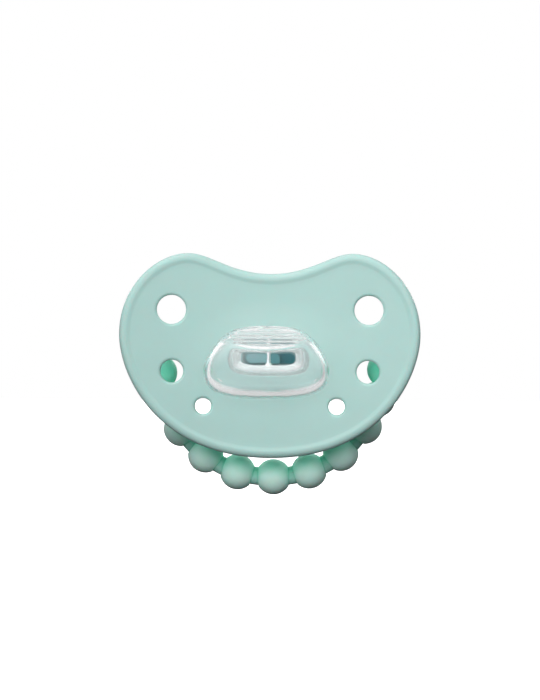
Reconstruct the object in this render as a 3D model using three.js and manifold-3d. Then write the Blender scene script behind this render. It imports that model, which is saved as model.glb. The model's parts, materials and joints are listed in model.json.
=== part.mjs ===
// A baby's pacifier: a heart-shaped shield, a hollow silicone nipple, a round knob and a beaded drop handle.
// Millimetres. X points to the right and Z up as the baby's nose is up, with the nipple facing the viewer.
// The nipple points along -Y, and the knob and handle stand behind the shield on +Y.
// The origin is where the nipple's axis crosses the middle of the shield plate.
import * as THREE from "three";
import { mergeVertices } from "three/addons/utils/BufferGeometryUtils.js";
import Module from "manifold-3d";

// ---- Driving dimensions ----

const GAP = 0.3; // between two pieces that touch
const THROUGH = 20; // further than any piece reaches, for cuts that go right through
const BITE = 0.2; // how far a joined shape sinks into the one it stands on

// Shield outline, right half: a smooth line through the notch, the lobe's peak, the side and the bottom.
const NOTCH_Z = 15.4;
const LOBE_X = 15.1;
const LOBE_Z = 19.15;
const SIDE_X = 27.65;
const SIDE_Z = 4.1;
const BOTTOM_Z = -18.75;
const NOTCH_REACH = 7.3; // how far the line keeps each point's direction
const LOBE_REACH_IN = 3.9;
const LOBE_REACH_OUT = 5.7;
const SIDE_REACH_UP = 9.1;
const SIDE_REACH_DOWN = 7.5;
const BOTTOM_REACH = 20.9;

const PLATE_THICKNESS = 1.9;
const WRAP_RADIUS = 75; // the plate wraps round the baby's mouth from side to side
const TALL_RADIUS = 600; // and barely from top to bottom
const RIM_RADIUS = 1.2; // rounded lip all round the edge
const MOUND_HEIGHT = 1.2; // the plate swells towards the mouth round the nipple
const MOUND_HALF_WIDTH = 17;
const MOUND_HALF_HEIGHT = 11;
const SEAT_RADIUS = 12.2; // flat round pad on the back that the knob stands on
const SEAT_Y = 1.3;
const NECK_HOLE_HALF = [7.15, 3.55]; // half width and half height of a slot with round ends

const VENTS = [
  { x: 18.22, z: 8.7, radius: 2.68 },
  { x: 18.1, z: -2.7, radius: 2.1 },
  { x: 12.36, z: -9.13, radius: 1.5 },
];

// Nipple. The outer form runs from the tip over the bulb and the flat neck to the base. A section
// reaches up and down from z, and dome and sole say how full its two halves are: 2 is an ellipse.
const NIPPLE_OUTSIDE = {
  tipY: -28.5,
  bulbY: -21,
  neckY: -11,
  flareY: -4,
  baseY: -1.5,
  endY: 1.6,
  bulb: { half: 11.15, up: 9.6, down: 5.2, z: -2.2, dome: 1.65, sole: 2.8 },
  neck: { half: 6.3, up: 2.7, down: 2.7, z: 0, dome: 3, sole: 3 },
  base: { half: 6.7, up: 3.1, down: 3.1, z: 0, dome: 3, sole: 3 },
};
const NIPPLE_INSIDE = {
  tipY: -26.7,
  bulbY: -20.6,
  neckY: -11.4,
  flareY: -6.4,
  baseY: -2.8,
  endY: 4,
  bulb: { half: 9.85, up: 8.2, down: 3.9, z: -2.2, dome: 1.65, sole: 2.8 },
  neck: { half: 4.9, up: 1.45, down: 1.45, z: 0, dome: 4, sole: 4 },
  base: { half: 4.9, up: 1.45, down: 1.45, z: 0, dome: 4, sole: 4 },
};
const NOSE_FULLNESS = 2.2; // of the bulb's front, seen from the side
const FACET_FRONT = { y: -27.2, z: 2.2 }; // flat slanted face on top of the bulb, from its front edge
const FACET_REAR = { y: -16.5, z: 6.15 }; // to its rear edge
const NIPPLE_WALL = 1.3;
const FLANGE_HALF = [9.4, 7.4];
const FLANGE_Y = [1.6, 2.9];
const RIB = { thickness: 0.5, height: 4, y: [-12, -5.5] }; // stands across the neck's opening

// Knob: a base and a cap, split through the handle's hinge axis, with the plug held between them.
const KNOB_RADIUS = 11.4;
const KNOB_WALL = 1.5;
const KNOB_FRONT_Y = SEAT_Y + GAP;
const KNOB_FLOOR_Y = [3.2, 4.6];
const KNOB_BACK_Y = 12.3;
const KNOB_BACK_ROUND = 1.6;
const CAP_BACK_THICKNESS = 1.6;
const PLUG_FLANGE_Y = [4.9, 6.1];
const PLUG_FLANGE_HALF = [6.1, 3.6];
const PLUG_BOSS_HALF = [4.6, 1.15];
const PLUG_FRONT_Y = 0.5;
const PLUG_STEP_X = 1.6; // the boss is shorter to the right of this
const PLUG_STEP_Y = 3.9;
const STEM_RADIUS = 2.4; // presses the plug home
const PEG_RADIUS = 1.2;
const PEG_Z = 7.1;
const PEG_FRONT_Y = 5;
const SOCKET_RADIUS = 2.4;
const SOCKET_BACK_Y = 9;

// Handle: a rod bent to a D, with beads along its curve and a pin at each end.
const HINGE_Y = 7.8;
const HINGE_Z = 3.4;
const BEND_RADIUS = 3; // from the pins down into the arms
const ARM_X = 21.5;
const DROP_Z = -22.6; // lowest point of the rod's middle line
const ARM_REACH = 7.6; // how far the curve keeps the direction of the arm
const DROP_REACH = 16.2; // and that of its lowest point
const ROD_RADIUS = 1.7;
const PIN_RADIUS = 1.4;
const PIN_CLEARANCE = 0.3;
const PIN_HEAD_RADIUS = 2.1;
const PIN_HEAD_X = [6.4, 7.6];
const SHOULDER_X = 11.9; // the rod narrows to the pin here, just outside the knob
const BEAD_RADIUS = 3.35;
const BEADS_ALONG = [0, 6.85, 13.7, 20.5, 26.2, 31.95]; // along the rod from its lowest point

// ---- Materials ----

const plastic = (color, roughness) =>
  new THREE.MeshStandardMaterial({ color, roughness, metalness: 0 });
const shieldPlastic = plastic(0xabd2ca, 0.5);
const knobPlastic = plastic(0xa3ccc3, 0.5);
const darkPlastic = plastic(0x6fa9a6, 0.6);
const rodPlastic = plastic(0x8fbdb3, 0.55);
const beadPlastic = plastic(0x98c4b9, 0.6);
const silicone = new THREE.MeshStandardMaterial({
  color: 0xe8f0f0,
  roughness: 0.15,
  metalness: 0,
  transparent: true,
  opacity: 0.45,
});

// ---- Solids ----

const wasm = await Module();
wasm.setup();

// A closed geometry as a solid that can be joined and cut.
function solid(geometry) {
  const bare = geometry.clone();
  bare.deleteAttribute("normal");
  bare.deleteAttribute("uv");
  const merged = mergeVertices(bare, 1e-4);
  return new wasm.Manifold(
    new wasm.Mesh({
      numProp: 3,
      vertProperties: new Float32Array(merged.attributes.position.array),
      triVerts: new Uint32Array(merged.index.array),
    }),
  );
}

// A named mesh of a solid.
function part(name, material, shape) {
  const mesh = shape.getMesh();
  const geometry = new THREE.BufferGeometry();
  geometry.setAttribute("position", new THREE.BufferAttribute(mesh.vertProperties, 3));
  geometry.setIndex(new THREE.BufferAttribute(mesh.triVerts, 1));
  geometry.computeVertexNormals();
  const made = new THREE.Mesh(geometry, material);
  made.name = name;
  return made;
}

// A flat outline in X and Z, pulled from y0 to y1.
function prism(shape, y0, y1, curveSegments = 12) {
  const geometry = new THREE.ExtrudeGeometry(shape, {
    depth: y1 - y0,
    bevelEnabled: false,
    curveSegments,
  });
  geometry.rotateX(Math.PI / 2);
  geometry.translate(0, y1, 0);
  return solid(geometry);
}

// A round disc, its axis along Y.
function disc(x, z, radius, y0, y1, sides = 20) {
  const shape = new THREE.Shape();
  shape.absarc(x, z, radius, 0, 2 * Math.PI);
  return prism(shape, y0, y1, sides / 2);
}

// A slot with round ends, [half width, half height].
function slot([halfWidth, halfHeight], y0, y1) {
  const shape = new THREE.Shape();
  const straight = halfWidth - halfHeight;
  shape.absarc(straight, 0, halfHeight, -Math.PI / 2, Math.PI / 2);
  shape.absarc(-straight, 0, halfHeight, Math.PI / 2, (3 * Math.PI) / 2);
  return prism(shape, y0, y1, 8);
}

// A round bar along X.
function barAlongX(x0, x1, radius, sides = 16) {
  const geometry = new THREE.CylinderGeometry(radius, radius, x1 - x0, sides);
  geometry.rotateZ(Math.PI / 2);
  geometry.translate((x0 + x1) / 2, HINGE_Y, HINGE_Z);
  return solid(geometry);
}

// ---- Shield ----

function shieldOutline() {
  const shape = new THREE.Shape();
  const bend = (...numbers) => shape.bezierCurveTo(...numbers);
  shape.moveTo(0, BOTTOM_Z);
  bend(BOTTOM_REACH, BOTTOM_Z, SIDE_X, SIDE_Z - SIDE_REACH_DOWN, SIDE_X, SIDE_Z);
  bend(SIDE_X, SIDE_Z + SIDE_REACH_UP, LOBE_X + LOBE_REACH_OUT, LOBE_Z, LOBE_X, LOBE_Z);
  bend(LOBE_X - LOBE_REACH_IN, LOBE_Z, NOTCH_REACH, NOTCH_Z, 0, NOTCH_Z);
  bend(-NOTCH_REACH, NOTCH_Z, -LOBE_X + LOBE_REACH_IN, LOBE_Z, -LOBE_X, LOBE_Z);
  bend(-LOBE_X - LOBE_REACH_OUT, LOBE_Z, -SIDE_X, SIDE_Z + SIDE_REACH_UP, -SIDE_X, SIDE_Z);
  bend(-SIDE_X, SIDE_Z - SIDE_REACH_DOWN, -BOTTOM_REACH, BOTTOM_Z, 0, BOTTOM_Z);
  return shape;
}

// Points of the outline moved inwards by inset.
function insetOutline(inset, count) {
  const points = shieldOutline().getSpacedPoints(count).slice(0, count);
  return points.map((point, i) => {
    const before = points[(i + count - 1) % count];
    const after = points[(i + 1) % count];
    const along = after.clone().sub(before).normalize();
    return new THREE.Vector2(point.x - along.y * inset, point.y + along.x * inset);
  });
}

// How far the middle of the plate lies behind the origin.
const plateY = (x, z) => -(x * x) / (2 * WRAP_RADIUS) - (z * z) / (2 * TALL_RADIUS);

function moundAt(x, z) {
  const away = Math.min(1, Math.hypot(x / MOUND_HALF_WIDTH, z / MOUND_HALF_HEIGHT));
  return MOUND_HEIGHT * Math.cos((away * Math.PI) / 2) ** 2;
}

function makeShield() {
  const slab = new THREE.BoxGeometry(3 * THROUGH, PLATE_THICKNESS, 2.2 * THROUGH, 24, 1, 16);
  const position = slab.attributes.position;
  for (let i = 0; i < position.count; i += 1) {
    const x = position.getX(i);
    const z = position.getZ(i);
    const front = position.getY(i) < 0;
    position.setY(i, position.getY(i) + plateY(x, z) - (front ? moundAt(x, z) : 0));
  }
  const rimSteps = 80;
  const rimSides = 12;
  const middle = insetOutline(RIM_RADIUS, rimSteps);
  let shield = solid(slab).intersect(prism(new THREE.Shape(middle), -THROUGH, THROUGH));

  const rimLine = middle.map((point) => new THREE.Vector3(point.x, plateY(point.x, point.y), point.y));
  const rimCurve = new THREE.CatmullRomCurve3(rimLine, true);
  shield = shield.add(solid(new THREE.TubeGeometry(rimCurve, rimSteps, RIM_RADIUS, rimSides, true)));

  shield = shield.add(disc(0, 0, SEAT_RADIUS, SEAT_Y - PLATE_THICKNESS, SEAT_Y, 36));
  for (const vent of VENTS) {
    for (const side of [-1, 1]) {
      shield = shield.subtract(disc(side * vent.x, vent.z, vent.radius, -THROUGH, THROUGH));
    }
  }
  return shield.subtract(slot(NECK_HOLE_HALF, -THROUGH, THROUGH));
}

// ---- Nipple ----

const smooth = (t) => {
  const held = Math.min(1, Math.max(0, t));
  return held * held * (3 - 2 * held);
};
const mix = (a, b, share) => a + (b - a) * share;

function mixSections(a, b, share) {
  return {
    half: mix(a.half, b.half, share),
    up: mix(a.up, b.up, share),
    down: mix(a.down, b.down, share),
    z: mix(a.z, b.z, share),
    dome: mix(a.dome, b.dome, share),
    sole: mix(a.sole, b.sole, share),
  };
}

// The nipple's section at a place along Y.
function sectionAt(form, y) {
  if (y < form.bulbY) {
    const out = (form.bulbY - y) / (form.bulbY - form.tipY);
    const size = (1 - out ** NOSE_FULLNESS) ** (1 / NOSE_FULLNESS);
    const { half, up, down } = form.bulb;
    return { ...form.bulb, half: half * size, up: up * size, down: down * size };
  }
  if (y < form.neckY) {
    const share = smooth((y - form.bulbY) / (form.neckY - form.bulbY));
    return mixSections(form.bulb, form.neck, share);
  }
  return mixSections(form.neck, form.base, smooth((y - form.flareY) / (form.baseY - form.flareY)));
}

function sectionPoint(section, angle, y) {
  const rising = Math.sin(angle) >= 0;
  const power = 2 / (rising ? section.dome : section.sole);
  const across = Math.sign(Math.cos(angle)) * Math.abs(Math.cos(angle)) ** power;
  const along = Math.abs(Math.sin(angle)) ** power;
  const z = section.z + (rising ? section.up : -section.down) * along;
  return [section.half * across, y, z];
}

// Where the sections are taken: close together at the tip, where the form turns fastest.
function stations(form, noseCount, bodyCount) {
  const places = [];
  for (let i = 1; i <= noseCount; i += 1) {
    const turn = (i / noseCount) * (Math.PI / 2);
    places.push(form.bulbY - (form.bulbY - form.tipY) * Math.cos(turn));
  }
  for (let i = 1; i <= bodyCount; i += 1) {
    places.push(mix(form.bulbY, form.endY, i / bodyCount));
  }
  return places;
}

// A closed skin over the sections, with a point at the tip and a flat end at the base.
function loft(form, noseCount, bodyCount, sides) {
  const vertices = [0, form.tipY, form.bulb.z];
  const places = stations(form, noseCount, bodyCount);
  for (const y of places) {
    const section = sectionAt(form, y);
    for (let i = 0; i < sides; i += 1) {
      vertices.push(...sectionPoint(section, (i / sides) * 2 * Math.PI, y));
    }
  }
  const endCentre = vertices.length / 3;
  vertices.push(0, form.endY, sectionAt(form, form.endY).z);
  const ring = (row, i) => 1 + row * sides + (i % sides);
  const faces = [];
  for (let i = 0; i < sides; i += 1) {
    faces.push(0, ring(0, i), ring(0, i + 1));
    for (let row = 0; row < places.length - 1; row += 1) {
      faces.push(ring(row, i), ring(row + 1, i), ring(row + 1, i + 1));
      faces.push(ring(row, i), ring(row + 1, i + 1), ring(row, i + 1));
    }
    faces.push(endCentre, ring(places.length - 1, i + 1), ring(places.length - 1, i));
  }
  const geometry = new THREE.BufferGeometry();
  geometry.setAttribute("position", new THREE.Float32BufferAttribute(vertices, 3));
  geometry.setIndex(faces);
  return solid(geometry);
}

// Everything under a slanted plane, drop below the bulb's facet.
function underFacet(drop) {
  const size = 3 * THROUGH;
  const slope = Math.atan2(FACET_REAR.z - FACET_FRONT.z, FACET_REAR.y - FACET_FRONT.y);
  const block = new THREE.BoxGeometry(size, size, size);
  block.translate(0, 0, -size / 2 - drop);
  block.rotateX(slope);
  block.translate(0, FACET_FRONT.y, FACET_FRONT.z);
  return solid(block);
}

// The facet only cuts the bulb: behind its rear edge the neck keeps its own form.
function cutByFacet(form, drop) {
  const behind = new THREE.BoxGeometry(2 * THROUGH, 2 * THROUGH, 2 * THROUGH);
  behind.translate(0, FACET_REAR.y + THROUGH, 0);
  return form.intersect(underFacet(drop).add(solid(behind)));
}

function makeNipple() {
  const outside = cutByFacet(loft(NIPPLE_OUTSIDE, 7, 14, 26), 0);
  const inside = cutByFacet(loft(NIPPLE_INSIDE, 5, 12, 20), NIPPLE_WALL);
  const flange = slot(FLANGE_HALF, ...FLANGE_Y);
  const [ribFront, ribBack] = RIB.y;
  const rib = new THREE.BoxGeometry(RIB.thickness, ribBack - ribFront, RIB.height);
  rib.translate(0, (ribFront + ribBack) / 2, 0);
  return outside.add(flange).subtract(inside).add(solid(rib));
}

// ---- Plug, knob base and cap ----

function makePlug() {
  const boss = slot(PLUG_BOSS_HALF, PLUG_FRONT_Y, PLUG_FLANGE_Y[1]);
  const right = new THREE.BoxGeometry(THROUGH, THROUGH, THROUGH);
  right.translate(PLUG_STEP_X + THROUGH / 2, PLUG_STEP_Y - THROUGH / 2, 0);
  return boss.subtract(solid(right)).add(slot(PLUG_FLANGE_HALF, ...PLUG_FLANGE_Y));
}

// The two holes that the handle's pins turn in.
function pinHoles() {
  const radius = PIN_RADIUS + PIN_CLEARANCE;
  return barAlongX(PIN_HEAD_X[0], THROUGH, radius).add(
    barAlongX(-THROUGH, -PIN_HEAD_X[0], radius),
  );
}

function makeKnobBase() {
  const backY = HINGE_Y - GAP / 2;
  const inner = KNOB_RADIUS - KNOB_WALL;
  let base = disc(0, 0, KNOB_RADIUS, KNOB_FRONT_Y, backY, 40);
  base = base.subtract(disc(0, 0, inner, -THROUGH, KNOB_FLOOR_Y[0], 40));
  base = base.subtract(disc(0, 0, inner, KNOB_FLOOR_Y[1], THROUGH, 40));
  for (const side of [-1, 1]) {
    const z = side * PEG_Z;
    base = base.add(disc(0, z, SOCKET_RADIUS, KNOB_FLOOR_Y[1] - BITE, SOCKET_BACK_Y, 12));
    base = base.subtract(disc(0, z, PEG_RADIUS + GAP, KNOB_FLOOR_Y[1], THROUGH, 10));
  }
  const plugHole = [PLUG_BOSS_HALF[0] + GAP, PLUG_BOSS_HALF[1] + GAP];
  return base.subtract(slot(plugHole, -THROUGH, THROUGH)).subtract(pinHoles());
}

function makeKnobCap() {
  const frontY = HINGE_Y + GAP / 2;
  const inner = KNOB_RADIUS - KNOB_WALL;
  const innerBackY = KNOB_BACK_Y - CAP_BACK_THICKNESS;
  const profile = [new THREE.Vector2(0, frontY), new THREE.Vector2(KNOB_RADIUS, frontY)];
  for (let i = 0; i <= 4; i += 1) {
    const turn = (i / 4) * (Math.PI / 2);
    const radius = KNOB_RADIUS - KNOB_BACK_ROUND * (1 - Math.cos(turn));
    const y = KNOB_BACK_Y - KNOB_BACK_ROUND * (1 - Math.sin(turn));
    profile.push(new THREE.Vector2(radius, y));
  }
  profile.push(new THREE.Vector2(0, KNOB_BACK_Y));
  let cap = solid(new THREE.LatheGeometry(profile, 40));
  cap = cap.subtract(disc(0, 0, inner, -THROUGH, innerBackY, 40));
  cap = cap.add(disc(0, 0, STEM_RADIUS, PLUG_FLANGE_Y[1] + GAP, innerBackY + BITE, 12));
  for (const side of [-1, 1]) {
    cap = cap.add(disc(0, side * PEG_Z, PEG_RADIUS, PEG_FRONT_Y, innerBackY + BITE, 10));
  }
  return cap.subtract(pinHoles());
}

// ---- Handle ----

// The right half of the rod's curve, from its lowest point up to the arm.
const armCurve = new THREE.CubicBezierCurve3(
  new THREE.Vector3(0, HINGE_Y, DROP_Z),
  new THREE.Vector3(DROP_REACH, HINGE_Y, DROP_Z),
  new THREE.Vector3(ARM_X, HINGE_Y, HINGE_Z - BEND_RADIUS - ARM_REACH),
  new THREE.Vector3(ARM_X, HINGE_Y, HINGE_Z - BEND_RADIUS),
);

const mirrored = (vector) => new THREE.Vector3(-vector.x, vector.y, vector.z);

// The rod's middle line, from the right pin's shoulder round to the left one.
function handleLine() {
  const armEnd = ARM_X - BEND_RADIUS;
  const right = [
    new THREE.Vector3(SHOULDER_X, HINGE_Y, HINGE_Z),
    new THREE.Vector3((SHOULDER_X + armEnd) / 2, HINGE_Y, HINGE_Z),
  ];
  for (let i = 0; i < 4; i += 1) {
    const turn = (i / 4) * (Math.PI / 2);
    const x = armEnd + BEND_RADIUS * Math.sin(turn);
    const z = HINGE_Z - BEND_RADIUS * (1 - Math.cos(turn));
    right.push(new THREE.Vector3(x, HINGE_Y, z));
  }
  right.push(...armCurve.getSpacedPoints(20).slice(1).reverse());
  const left = right.map(mirrored).reverse();
  return new THREE.CatmullRomCurve3([...right, armCurve.getPoint(0), ...left]);
}

function makeHandleRod() {
  const section = new THREE.Shape();
  section.absarc(0, 0, ROD_RADIUS, 0, 2 * Math.PI);
  const swept = new THREE.ExtrudeGeometry(section, {
    extrudePath: handleLine(),
    steps: 76,
    curveSegments: 5,
  });
  let rod = solid(swept);
  const [headIn, headOut] = PIN_HEAD_X;
  const pinEnd = SHOULDER_X + BITE;
  rod = rod.add(barAlongX(headIn, pinEnd, PIN_RADIUS, 12));
  rod = rod.add(barAlongX(-pinEnd, -headIn, PIN_RADIUS, 12));
  rod = rod.add(barAlongX(headIn, headOut, PIN_HEAD_RADIUS, 12));
  return rod.add(barAlongX(-headOut, -headIn, PIN_HEAD_RADIUS, 12));
}

// A ball with its bore along Y.
function makeBead() {
  const open = Math.acos((ROD_RADIUS + GAP) / BEAD_RADIUS);
  const profile = [];
  const steps = 8;
  for (let i = 0; i <= steps; i += 1) {
    const angle = mix(-open, open, i / steps);
    profile.push(new THREE.Vector2(BEAD_RADIUS * Math.cos(angle), BEAD_RADIUS * Math.sin(angle)));
  }
  profile.push(profile[0].clone());
  return solid(new THREE.LatheGeometry(profile, 14));
}

// ---- The pacifier ----

const pacifier = new THREE.Group();
pacifier.add(part("shield", shieldPlastic, makeShield()));
pacifier.add(part("nipple", silicone, makeNipple()));
pacifier.add(part("nipple_plug", darkPlastic, makePlug()));
pacifier.add(part("knob_base", knobPlastic, makeKnobBase()));
pacifier.add(part("knob_cap", knobPlastic, makeKnobCap()));

const handle = new THREE.Group();
handle.add(part("handle_rod", rodPlastic, makeHandleRod()));
const bead = makeBead();
const middleBead = BEADS_ALONG.length - 1;
for (let i = 0; i <= 2 * middleBead; i += 1) {
  const share = BEADS_ALONG[Math.abs(i - middleBead)] / armCurve.getLength();
  const place = armCurve.getPointAt(share);
  const along = armCurve.getTangentAt(share);
  const left = i < middleBead;
  const mesh = part(`bead_${String(i + 1).padStart(2, "0")}`, beadPlastic, bead);
  mesh.position.copy(left ? mirrored(place) : place);
  mesh.quaternion.setFromUnitVectors(new THREE.Vector3(0, 1, 0), left ? mirrored(along) : along);
  handle.add(mesh);
}
pacifier.add(handle);

export default pacifier;
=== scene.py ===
"""A baby's pacifier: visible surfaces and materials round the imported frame. Metres, +Z up."""

import json
import math

import bmesh
import bpy
from mathutils import Matrix, Vector
from mathutils.geometry import delaunay_2d_cdt


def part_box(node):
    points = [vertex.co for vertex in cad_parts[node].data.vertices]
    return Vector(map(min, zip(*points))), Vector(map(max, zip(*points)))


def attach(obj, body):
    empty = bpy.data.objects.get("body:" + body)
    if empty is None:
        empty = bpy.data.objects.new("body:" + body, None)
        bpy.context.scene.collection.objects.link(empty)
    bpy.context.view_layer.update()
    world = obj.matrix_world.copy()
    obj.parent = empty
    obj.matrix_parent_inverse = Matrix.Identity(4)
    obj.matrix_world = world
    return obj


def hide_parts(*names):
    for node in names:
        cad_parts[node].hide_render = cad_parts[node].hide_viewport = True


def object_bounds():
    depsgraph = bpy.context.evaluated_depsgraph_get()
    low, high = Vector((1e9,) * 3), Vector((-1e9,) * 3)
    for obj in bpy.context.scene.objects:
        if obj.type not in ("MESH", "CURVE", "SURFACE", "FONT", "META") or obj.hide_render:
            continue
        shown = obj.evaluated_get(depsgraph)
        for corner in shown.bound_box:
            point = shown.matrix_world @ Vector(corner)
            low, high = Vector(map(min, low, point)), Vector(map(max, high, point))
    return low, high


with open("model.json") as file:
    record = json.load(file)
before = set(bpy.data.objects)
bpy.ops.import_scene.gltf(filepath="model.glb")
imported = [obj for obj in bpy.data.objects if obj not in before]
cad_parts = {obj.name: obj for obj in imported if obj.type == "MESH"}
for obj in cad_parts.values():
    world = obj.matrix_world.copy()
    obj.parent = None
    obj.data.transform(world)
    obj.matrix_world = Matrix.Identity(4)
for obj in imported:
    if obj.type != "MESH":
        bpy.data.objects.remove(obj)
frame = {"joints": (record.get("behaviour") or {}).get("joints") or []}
cad_low, cad_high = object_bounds()

MM = 0.001
scene = bpy.context.scene

# ---------------------------------------------------------------- camera

CAMERA_DISTANCE = 0.45
CAMERA_TURN = math.radians(1.8)  # a little to the right of straight ahead
CAMERA_ROLL = math.radians(0.35)
CAMERA_HEIGHT = 1.3 * MM
CAMERA_ASIDE = -0.05 * MM
FIELD_HEIGHT = 129.8 * MM  # how much the camera takes in from top to bottom at the shield
SENSOR = 36.0
CLIP_NEAR = 0.01
CLIP_FAR = 20


def make_camera():
    data = bpy.data.cameras.new("camera")
    data.sensor_width = SENSOR
    data.lens = SENSOR * CAMERA_DISTANCE / FIELD_HEIGHT
    data.clip_start = CLIP_NEAR
    data.clip_end = CLIP_FAR
    camera = bpy.data.objects.new("camera", data)
    scene.collection.objects.link(camera)
    target = Vector((CAMERA_ASIDE, 0, CAMERA_HEIGHT))
    back = Vector((math.sin(CAMERA_TURN), -math.cos(CAMERA_TURN), 0))
    camera.location = target + back * CAMERA_DISTANCE
    camera.rotation_mode = "QUATERNION"
    aim = (-back).to_track_quat("-Z", "Y")
    camera.rotation_quaternion = aim @ Matrix.Rotation(CAMERA_ROLL, 3, "Z").to_quaternion()
    scene.camera = camera


make_camera()

# ---------------------------------------------------------------- materials

CLOUD_SCALE = 90.0
CLOUD_TINT = 0.035  # how far the flow clouds lighten and darken the colour
GRAIN_SCALE = 3200.0
GRAIN_DEPTH = 0.012 * MM
SHEEN_SPREAD = 0.07
PLASTIC_IOR = 1.49
SINK_RADIUS = (0.15, 1.0, 0.8)  # green and blue light travels further in the mint plastic
PAINTED_SHADE_REACH = 11 * MM  # how far round a point it looks for other walls, for the painted shade
PAINTED_SHADE_OPENNESS = (0.3, 0.9)  # the painted shade runs from full, where other walls shut a point in, to none in the open

SILICONE_IOR = 1.41
SILICONE_TINT = (0.97, 0.985, 0.99, 1)
SILICONE_GLOSS = (0.02, 0.10)
WAVE_SCALE = 260.0
WAVE_DEPTH = 0.05 * MM
SMEAR_SCALE = 420.0
STREAK_SCALE = 170.0
STREAK_DEPTH = 0.06 * MM
STREAK_HEIGHTS = (1.8 * MM, 2.6 * MM)  # the streaks fade in between these, going up
STREAK_START = (-15 * MM, -17 * MM)  # and between these, going out along the bulb
CLEAR_MILK = 0.005
EDGE_MILK = 0.25
EDGE_POWER = 3.0
NECK_MILK = 0.5
NECK_START = (-14.5 * MM, -11.5 * MM)  # where the milk of the neck sets in
NECK_PAINTED_GLOW = 0.14  # painted light: the neck's milky wall glows, standing in for light that enters it elsewhere and is passed on
NECK_PAINTED_GLOW_TINT = (0.96, 1.0, 0.99, 1)


def node_material(name):
    """A new material with its tree, its Principled shader and a helper that adds nodes."""
    material = bpy.data.materials.new(name)
    material.use_nodes = True
    tree = material.node_tree
    shader = tree.nodes["Principled BSDF"]

    def add(kind, **values):
        node = tree.nodes.new(kind)
        for key, value in values.items():
            if key in node.inputs:
                node.inputs[key].default_value = value
            else:
                setattr(node, key, value)
        return node

    return material, tree, shader, add


def fade(add, start, end, low=0.0, high=1.0):
    """A node that goes softly from low to high as its value goes from start to end."""
    node = add("ShaderNodeMapRange", interpolation_type="SMOOTHSTEP")
    node.inputs["From Min"].default_value = start
    node.inputs["From Max"].default_value = end
    node.inputs["To Min"].default_value = low
    node.inputs["To Max"].default_value = high
    return node


def srgb(r, g, b):
    """A colour given as the eye sees it, 0 to 255, as the linear numbers that shaders take."""

    def linear(value):
        value /= 255
        return value / 12.92 if value <= 0.04045 else ((value + 0.055) / 1.055) ** 2.4

    return (linear(r), linear(g), linear(b), 1)


def moulded_plastic(
    name, colour, roughness, grain=0.35, glow=0.3, reach=1.0, painted_shade_colour=None, shine=0.5
):
    """Satin moulded plastic: fine spark-eroded grain, faint flow clouds in colour and sheen.

    glow is how much of the light sinks in, and reach how far it gets, in millimetres. The colour
    given for hollows is painted shade: ambient occlusion paints it in where other walls are near,
    standing in for light that only arrives off more of the same plastic.
    """
    material, tree, shader, add = node_material(name)
    link = tree.links.new
    place = add("ShaderNodeTexCoord")

    clouds = add("ShaderNodeTexNoise", Scale=CLOUD_SCALE, Detail=3.0, Roughness=0.5)
    link(place.outputs["Object"], clouds.inputs["Vector"])
    tint = add("ShaderNodeMix", data_type="RGBA")
    darker = [channel * (1 - CLOUD_TINT) for channel in colour[:3]]
    lighter = [min(1, channel * (1 + CLOUD_TINT)) for channel in colour[:3]]
    tint.inputs[6].default_value = darker + [1]
    tint.inputs[7].default_value = lighter + [1]
    link(clouds.outputs["Fac"], tint.inputs[0])
    # painted shade: a deeper mint is painted in where ambient occlusion finds other walls near
    if painted_shade_colour:
        openness = add("ShaderNodeAmbientOcclusion", samples=8, Distance=PAINTED_SHADE_REACH)
        share = fade(add, *PAINTED_SHADE_OPENNESS)
        link(openness.outputs["AO"], share.inputs["Value"])
        painted_shade_mix = add("ShaderNodeMix", data_type="RGBA")
        painted_shade_mix.inputs[6].default_value = painted_shade_colour
        link(share.outputs["Result"], painted_shade_mix.inputs[0])
        link(tint.outputs[2], painted_shade_mix.inputs[7])
        link(painted_shade_mix.outputs[2], shader.inputs["Base Color"])
    else:
        link(tint.outputs[2], shader.inputs["Base Color"])

    fine = add("ShaderNodeTexNoise", Scale=GRAIN_SCALE, Detail=4.0, Roughness=0.6)
    link(place.outputs["Object"], fine.inputs["Vector"])
    sheen = add("ShaderNodeMapRange")
    sheen.inputs["To Min"].default_value = roughness - SHEEN_SPREAD
    sheen.inputs["To Max"].default_value = roughness + SHEEN_SPREAD
    link(fine.outputs["Fac"], sheen.inputs["Value"])
    link(sheen.outputs["Result"], shader.inputs["Roughness"])

    bump = add("ShaderNodeBump", Strength=grain, Distance=GRAIN_DEPTH)
    link(fine.outputs["Fac"], bump.inputs["Height"])
    link(bump.outputs["Normal"], shader.inputs["Normal"])

    shader.inputs["IOR"].default_value = PLASTIC_IOR
    shader.inputs["Specular IOR Level"].default_value = shine
    shader.inputs["Subsurface Weight"].default_value = glow
    shader.inputs["Subsurface Radius"].default_value = SINK_RADIUS
    shader.inputs["Subsurface Scale"].default_value = reach * MM
    return material


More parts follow.
